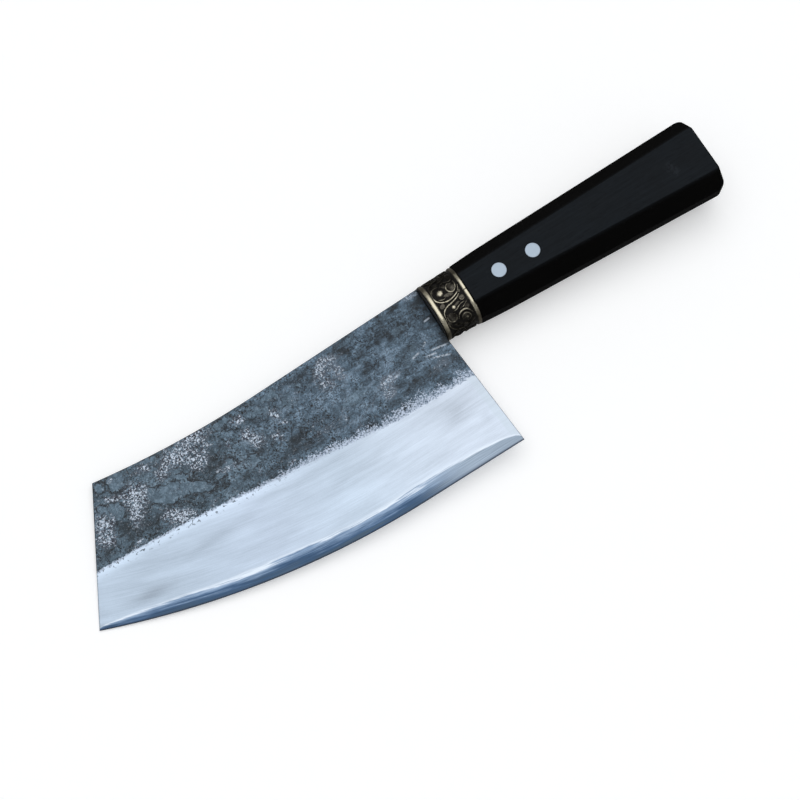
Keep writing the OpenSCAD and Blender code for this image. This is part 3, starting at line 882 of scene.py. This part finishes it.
def ferrule_mesh():
    """The sleeve: rings along its outside, then one at each end of its bore"""
    x, t = np.meshgrid(np.linspace(0, FERRULE_L, FERRULE_ROWS),
                       np.arange(FERRULE_ROUND) / FERRULE_ROUND - 0.5, indexing="ij")
    r = FERRULE_T / 2 + FERRULE_FLARE / 2 * x / FERRULE_L
    s = t * oval_girth(r)
    y, ny, nz = oval_point(s, r)
    middle_girth = oval_girth((FERRULE_T + FERRULE_FLARE / 2) / 2)
    offset, field = ferrule_relief(x, s, t * middle_girth, middle_girth / REPEATS)
    outer, bore = (np.stack([x, y + reach * ny, reach * nz], -1) for reach in (r + offset, r - FERRULE_WALL))
    points = np.vstack([outer, bore[[-1, 0]]])
    # Distance round the girth to the nearer of the painted highlight at LIT_S and the bottom
    aside = np.minimum(np.abs(s - LIT_S), oval_girth(r) / 2 - np.abs(s))
    fields = {"crest": (offset + GROUND_DEPTH, 0), "field": (field, 0), "aside": (aside, FAR_OFF)}
    fields = {name: np.vstack([outside, np.full((2, FERRULE_ROUND), inside)]).ravel()
              for name, (outside, inside) in fields.items()}
    faces = quads(numbered(*points.shape[:2]), wrap=True, closed=True, flip=True)
    mesh = new_mesh("ferrule_brass", points.reshape(-1, 3), faces, fields)
    mesh.set_sharp_from_angle(angle=math.radians(60))
    return mesh


def brass_material():
    """Old brass: a painted highlight on the rims and crests of one side, which are also rubbed smoother, dark
    patina in the ground and painted shade elsewhere
    """
    g = Graph("antique_brass")
    crest, field, aside = g.attributes("crest", "field", "aside")
    # rubbed: the painted highlight round LIT_S, where the brass is also smoother
    rubbed = g.step(aside + 5 * (g.noise(3, 3) - 0.5), 12, 3.5)
    wear = g.noise(0.7, 4, 0.65)
    patchy = g.step(g.noise(1.9, 3, 0.6), 0.36, 0.6)
    crown = crest + 0.3 * (wear - 0.5) - 0.1 * field
    cast = g.step(crown, -0.04, 0.12)
    brass = g.mix(wear, (0.36, 0.32, 0.215), (0.68, 0.64, 0.52))
    # Painted shade: the brass and the lobes darker away from the painted highlight
    brass = g.mix(0.93 * (1 - rubbed), brass, (0.018, 0.014, 0.007))
    bronze = g.mix(patchy, (0.02, 0.018, 0.015), (0.085, 0.078, 0.064))
    low = g.mix(cast, (0.003, 0.0025, 0.002), g.scaled(bronze, g.blend(rubbed, 0.2, 1)))
    bright = g.step(crown, 0.3, 0.46) * g.blend(field, 1, 0.55 + 0.45 * patchy)
    rough = 0.72 - 0.1 * bright - 0.38 * rubbed + 0.2 * (g.noise(1.2, 3) - 0.5)
    return g.finish(Base_Color=g.mix(bright, low, brass), Metallic=cast, Specular_IOR_Level=0.1,
                    Roughness=rough, Normal=g.bump(g.noise(0.45, 3, 0.6), 0.03, 0.6))


# The handle: rounding of its long edges, and of its two corners at the butt
EDGE_ROUND = 0.9
EDGE_STEPS = 4
UPPER_CORNER_R = 3.4
LOWER_CORNER_R = 3.8
side_angle = math.atan((BUTT_W - HANDLE_W) / 2 / HANDLE_L)
REACH = HANDLE_T / 2 - CHAMFER_W
# Rings along the handle, rings round its butt, and the rings that close the butt as shares of it
HANDLE_RINGS = 76
BUTT_RINGS = 16
BUTT_SHARES = (0.8, 0.6, 0.4, 0.2)
# Points along each side of the octagon, from its first corner on
SIDE_STEPS = [6, 12, 6, 5, 6, 12, 6, 5]
TENON_STEPS = 96
# Half the length of a cutter that goes right through
THROUGH = 20
# Faint scuff on the broad face, from one end to the other, and its width
SCUFF = (116, 3.2), (118, -5.5)
SCUFF_W = 2.4


def shrink(x, r):
    """How far a rounding of radius r at the butt has come in from its side"""
    past = max(x - (BUTT_X - r), 0)
    return r - math.sqrt(max(r * r - past * past, 0))


def rounded(corners):
    """The points round an outline with rounded corners"""
    arcs = []
    for before, here, after in zip(np.roll(corners, 1, 0), corners, np.roll(corners, -1, 0)):
        into, off = here - before, after - here
        into, off = into / np.linalg.norm(into), off / np.linalg.norm(off)
        turn = math.acos(np.clip(into @ off, -1, 1))
        start = here - into * EDGE_ROUND * math.tan(turn / 2)
        angles = turn * np.arange(EDGE_STEPS + 1)[:, None] / EDGE_STEPS
        inward = np.array([-into[1], into[0]])
        arcs.append(start + EDGE_ROUND * (np.sin(angles) * into + (1 - np.cos(angles)) * inward))
    ring = []
    for arc, following, steps in zip(arcs, arcs[1:] + arcs[:1], SIDE_STEPS):
        ring += [*arc, *(arc[-1] + (following[0] - arc[-1]) * k / steps for k in range(1, steps))]
    return np.array(ring)


def handle_section(x):
    """The octagon at x with rounded edges, as points from the +Y side round towards +Z"""
    dressed = SHOULDER_DROP * max(1 - (x - FERRULE_L) / SHOULDER_L, 0) ** 2
    width = HANDLE_W / 2 + (x - FERRULE_L) * math.tan(side_angle)
    half_t = HANDLE_T / 2 - shrink(x, BUTT_EDGE_R)
    cut = width + REACH - math.sqrt(2) * shrink(x, BUTT_EDGE_R)
    corners = []
    for way, corner_r in ((1, UPPER_CORNER_R), (-1, LOWER_CORNER_R)):
        half_w = width - dressed - shrink(x, corner_r)
        corners += [(way * half_w, cut - half_w), (way * (cut - half_t), half_t)][::way]
    corners += [(a, -b) for a, b in corners[::-1]]
    return rounded(np.array(corners))


def handle_skin():
    """The octagonal block as one closed mesh"""
    butt_steps = np.sin(math.pi / 2 * np.arange(1, BUTT_RINGS + 1) / BUTT_RINGS)
    xs = [*np.linspace(FERRULE_L, BUTT_X - LOWER_CORNER_R, HANDLE_RINGS),
          *(BUTT_X - LOWER_CORNER_R * (1 - butt_steps))]
    rings = [np.insert(handle_section(x), 0, x, axis=1) for x in xs]
    rings += [rings[-1] * [1, share, share] for share in BUTT_SHARES]
    return new_mesh("handle_skin", np.vstack(rings), tube_faces(len(rings), len(rings[0])))


def prism(name, outline, low, high, axis):
    """A closed prism: outline points in the plane square to the axis (0 is x), from low to high"""
    rings = [np.insert(np.asarray(outline, float), axis, height, axis=1) for height in (low, high)]
    return new_object(name, new_mesh(name, np.vstack(rings), tube_faces(2, len(outline))))


def disc(x, y, d, steps=64):
    angles = [2 * math.pi * k / steps for k in range(steps)]
    return [(x + d / 2 * math.cos(angle), y + d / 2 * math.sin(angle)) for angle in angles]


def boolean(target, tool, operation):
    cut = target.modifiers.new("cut", "BOOLEAN")
    cut.operation, cut.solver, cut.object = operation, "EXACT", tool
    depsgraph = bpy.context.evaluated_depsgraph_get()
    target.data = bpy.data.meshes.new_from_object(target.evaluated_get(depsgraph))
    target.modifiers.clear()
    bpy.data.objects.remove(tool)


def rivet_places():
    return [(FERRULE_L + RIVET_X + i * RIVET_PITCH, -RIVET_LOW) for i in (0, 1)]


def handle_mesh():
    """The block with its tenon, the tang's slot and the rivets' stepped bores"""
    handle = new_object("handle_block", handle_skin())
    r = FERRULE_T / 2 - FERRULE_WALL - TENON_FIT
    s = (np.arange(TENON_STEPS) / TENON_STEPS - 0.5) * oval_girth(r)
    y, ny, nz = oval_point(s, r)
    oval = np.column_stack([y + r * ny, r * nz])[::-1]
    boolean(handle, prism("tenon", oval, MOUTH_DEPTH, FERRULE_L + TENON_ROOT, 0), "UNION")
    h, t = TANG_H / 2 + RESIN_T, TANG_T / 2 + RESIN_T
    slot = prism("slot", [(-h, -t), (h, -t), (h, t), (-h, t)], -1, TANG_L + RESIN_T, 0)
    boolean(handle, slot, "DIFFERENCE")
    seat = HANDLE_T / 2 - RIVET_HEAD_H
    for x, y in rivet_places():
        bore, head = (disc(x, y, d + 2 * RIVET_FIT) for d in (BARREL_D, RIVET_HEAD_D))
        for outline, low, high in ((bore, -THROUGH, THROUGH), (head, -THROUGH, -seat), (head, seat, THROUGH)):
            boolean(handle, prism("bore", outline, low, high, 2), "DIFFERENCE")
    mesh = handle.data
    bpy.data.objects.remove(handle)
    x, _, z = (mesh_points(mesh) / MM - ORIGIN).T
    # broad marks the broad faces, and partly the butt, for the painted sheen and the smoother finish
    broad = smooth(np.abs(z), HANDLE_T / 2 - 0.4, HANDLE_T / 2 - 0.02)
    butt = smooth(x, BUTT_X - 0.5, BUTT_X - 0.05)
    add_attribute(mesh, "broad", np.maximum(broad, 0.6 * butt))
    mesh.shade_smooth()
    mesh.set_sharp_from_angle(angle=math.radians(28))
    return mesh


def wood_material():
    """Black stained wood, more polished on the broad faces than on the chamfers; the broad faces' lighter,
    bluer colour is a painted sheen of the light from above, and the chamfers' darker one painted shade
    """
    g = Graph("dark_wood")
    broad, = g.attributes("broad")
    grain = g.noise(0.9, 4, 0.65, 0.4, g.place((0.03, 1, 1)))
    pores = g.step(g.noise(0.3, 2, 0.6, where=g.place((0.06, 1, 1))), 0.6, 0.72)
    cloud = g.noise(14, 3)
    rubbed = g.noise(1.2, 4, 0.65, where=g.place((0.3, 1, 1), turn=-20))
    # face: the broad faces painted lighter as a painted sheen; cut: the chamfers painted darker as painted
    # shade
    face = g.scaled(g.mix(cloud, (0.0106, 0.012, 0.0138), (0.0126, 0.016, 0.02)),
                    1 + 0.9 * (grain - 0.5) + 0.5 * (rubbed - 0.5) - 0.35 * pores)
    scuff = g.line(*SCUFF, SCUFF_W) * g.step(g.noise(1.5, 3), 0.4, 0.6)
    face = g.mix(0.35 * scuff, face, (0.032, 0.037, 0.044))
    cut = g.scaled(g.mix(cloud, (0.0014, 0.0013, 0.0012), (0.0024, 0.0024, 0.0024)),
                   1 + 1.2 * (grain - 0.5) - 0.35 * pores)
    rough = 0.95 - 0.45 * broad + 0.2 * (grain - 0.5) + 0.1 * (cloud - 0.5) + 0.12 * (rubbed - 0.5)
    return g.finish(Base_Color=g.mix(broad, cut, face), Roughness=rough, Specular_IOR_Level=0.03,
                    Normal=g.bump(0.5 * grain - 0.5 * pores, 0.04, 0.35))


# The rivets: the rounding of their heads, how much these dome, the chamfer of the posts' ends, and
# the smallest radius, which a flat end closes on
HEAD_SOFT = 0.18
DOME = 0.02
POST_CHAMFER = 0.2
PIN_R = 0.05


def lathe(name, profile, x, y, steps=64):
    """A profile of (radius, height) points turned round an upright axis. One that starts at the axis
    is closed by its flat ends, and another one by joining them."""
    angles = 2 * math.pi * np.arange(steps) / steps
    rings = [np.column_stack([x + r * np.cos(angles), y + r * np.sin(angles), np.full(steps, height)])
             for r, height in profile]
    if profile[0][0] == PIN_R:
        faces = tube_faces(len(rings), steps)
    else:
        faces = quads(numbered(len(rings), steps), wrap=True, closed=True)
    mesh = new_mesh(name, np.vstack(rings), faces)
    mesh.set_sharp_from_angle(angle=math.radians(35))
    return mesh


def head_profile(way):
    """From the edge of the stem, up round the head and over its very slightly domed top"""
    r, top = RIVET_HEAD_D / 2, HANDLE_T / 2
    rounding = [(r - HEAD_SOFT * (1 - math.sin(a)), top - HEAD_SOFT * (1 - math.cos(a)) - DOME)
                for a in np.radians([90, 67, 45, 22, 0])]
    dome = [(r * f, top - DOME * f * f) for f in (0.75, 0.5, 0.25, 0.05)]
    return [(a, way * b) for a, b in [(r, top - RIVET_HEAD_H), *rounding, *dome]]


def add_rivets(material):
    stem = HANDLE_T / 2 - RIVET_HEAD_H
    post_r, bore_r, barrel_r = POST_D / 2, POST_D / 2 + RIVET_FIT, BARREL_D / 2
    low = RIVET_GAP - stem
    post = [(PIN_R, low), (post_r - POST_CHAMFER, low), (post_r, low + POST_CHAMFER), (post_r, stem),
            *head_profile(1)]
    socket = [(bore_r, -stem), (bore_r, -low), (barrel_r, -low), (barrel_r, -stem), *head_profile(-1),
              (PIN_R, -stem)]
    for place, (x, y) in zip(("front", "rear"), rivet_places()):
        for half, profile in (("post", post), ("socket", socket)):
            name = f"{place}_rivet_{half}"
            add_piece(f"{name}_metal", lathe(name, profile, x, y), material, name)


def rivet_material():
    g = Graph("rivet_metal")
    tone = g.noise(1.6, 4, 0.6)
    scratch = g.noise(0.25, where=g.place((0.15, 1, 1), turn=30))
    colour = g.mix(0.6 * tone + 0.4 * scratch, (0.33, 0.4, 0.47), (0.43, 0.5, 0.58))
    return g.finish(Base_Color=colour, Metallic=0.85, Roughness=0.42 + 0.15 * scratch,
                    Normal=g.bump(scratch, 0.015, 0.4))


def resin_material():
    g = Graph("cast_resin")
    tone = g.noise(1.5, 4)
    return g.finish(Base_Color=g.mix(tone, (0.012, 0.012, 0.013), (0.03, 0.029, 0.028)),
                    Roughness=0.4 + 0.2 * tone, Normal=g.bump(tone, 0.1, 0.4))


add_piece("blade_steel", with_tang(blade_mesh()), blade_material(), "blade")
add_piece("ferrule_brass", ferrule_mesh(), brass_material(), "ferrule")
add_piece("handle_wood", handle_mesh(), wood_material(), "handle")
add_rivets(rivet_material())
dress(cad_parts["resin_bed"].data, resin_material())

# The stage, in metres. The knife rests on the tip of its blade and the front of its ferrule, so the
# floor leans that way: rise over run along x and y.
FLOOR_LEAN = (0.0504, 0.0087)
FLOOR_R = 15
FLOOR_SIDES = 48
FLOOR_GLOW = 0.35
WALL_H = 4.5
WALL_GLOW = 0.8
FLOOR_GAP = 0.02 * MM
# Strength of the soft light all round, at the height of the floor and straight above
SKY_LOW = 0.15
SKY_HIGH = 0.55
SUN_STRENGTH = 1.3
SUN_SPREAD = 76
SUN_FROM = (0.12, 0.22, 0.97)
# The photograph's view: 15 degrees from square to the blade, with the handle to the upper right,
# and the place of the knife that it is aimed at, in millimetres
CAMERA_AZIMUTH = -31.6
CAMERA_ELEVATION = 75
CAMERA_DISTANCE = 0.75
CAMERA_AIM = (-30.2, -24.1, 0)
LENS = 82.6


def add_backdrop(name, points, faces, glow):
    """White to the camera and in reflections, and lit and shaded like any plain surface otherwise"""
    mesh = bpy.data.meshes.new(name)
    mesh.from_pydata(points, [], faces)
    g = Graph(name)
    rays = ("Is Camera Ray", "Is Glossy Ray", "Is Transmission Ray")
    seen = g.largest(*(g.node("LightPath", {}, ray) for ray in rays))
    dress(mesh, g.finish(Base_Color=(0.8, 0.8, 0.8), Roughness=0.9, Specular_IOR_Level=0,
                         Emission_Color=(1, 1, 1), Emission_Strength=seen * glow))
    thing = new_object(name, mesh)
    thing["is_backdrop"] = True
    return thing


def turn_to(thing, way):
    """Turn an object's own z axis to this direction, with its y axis upwards"""
    thing.rotation_mode = "QUATERNION"
    thing.rotation_quaternion = Vector(way).to_track_quat("Z", "Y")


def add_floor():
    """A floor just under the lowest point of the dressed knife, and a wall round it"""
    up = Vector((*FLOOR_LEAN, 1)).normalized()
    depsgraph = bpy.context.evaluated_depsgraph_get()
    low = min(up.dot(v.co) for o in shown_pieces() for v in o.evaluated_get(depsgraph).data.vertices)
    ring = disc(0, 0, 2 * FLOOR_R, FLOOR_SIDES)
    points = [(x, y, z) for z in (0, WALL_H) for x, y in ring]
    wall = quads(numbered(2, FLOOR_SIDES), wrap=True)
    for thing in (add_backdrop("floor", points[:FLOOR_SIDES], [range(FLOOR_SIDES)], FLOOR_GLOW),
                  add_backdrop("backdrop", points, wall, WALL_GLOW)):
        turn_to(thing, up)
        thing.location = up * (low - FLOOR_GAP)


def add_sun():
    """One wide sun, from above and a little from the side of the spine"""
    sun = bpy.data.lights.new("key", "SUN")
    sun.energy, sun.angle = SUN_STRENGTH, math.radians(SUN_SPREAD)
    turn_to(new_object("key", sun), SUN_FROM)


def add_sky():
    """Soft light that grows with the height above the horizon"""
    g = Graph("studio", kind="worlds")
    height = g.node("SeparateXYZ", {0: g.node("TexCoord", {}, "Generated")}, "Z")
    strength = g.node("MapRange", {"Value": height, "To Min": SKY_LOW, "To Max": SKY_HIGH})
    bpy.context.scene.world = g.finish("Background", Color=(0.94, 0.97, 1), Strength=strength)


def add_camera():
    level, rise = along(CAMERA_ELEVATION)
    back = Vector((*-square_to(CAMERA_AZIMUTH) * level, rise))
    data = bpy.data.cameras.new("camera")
    data.lens = LENS
    data.clip_start, data.clip_end = 0.05, 50
    camera = new_object("camera", data)
    camera.location = Vector((ORIGIN + CAMERA_AIM) * MM) + back * CAMERA_DISTANCE
    turn_to(camera, back)
    bpy.context.scene.camera = camera


add_floor()
add_sun()
add_sky()
add_camera()
bpy.context.scene.view_settings.view_transform = "Standard"
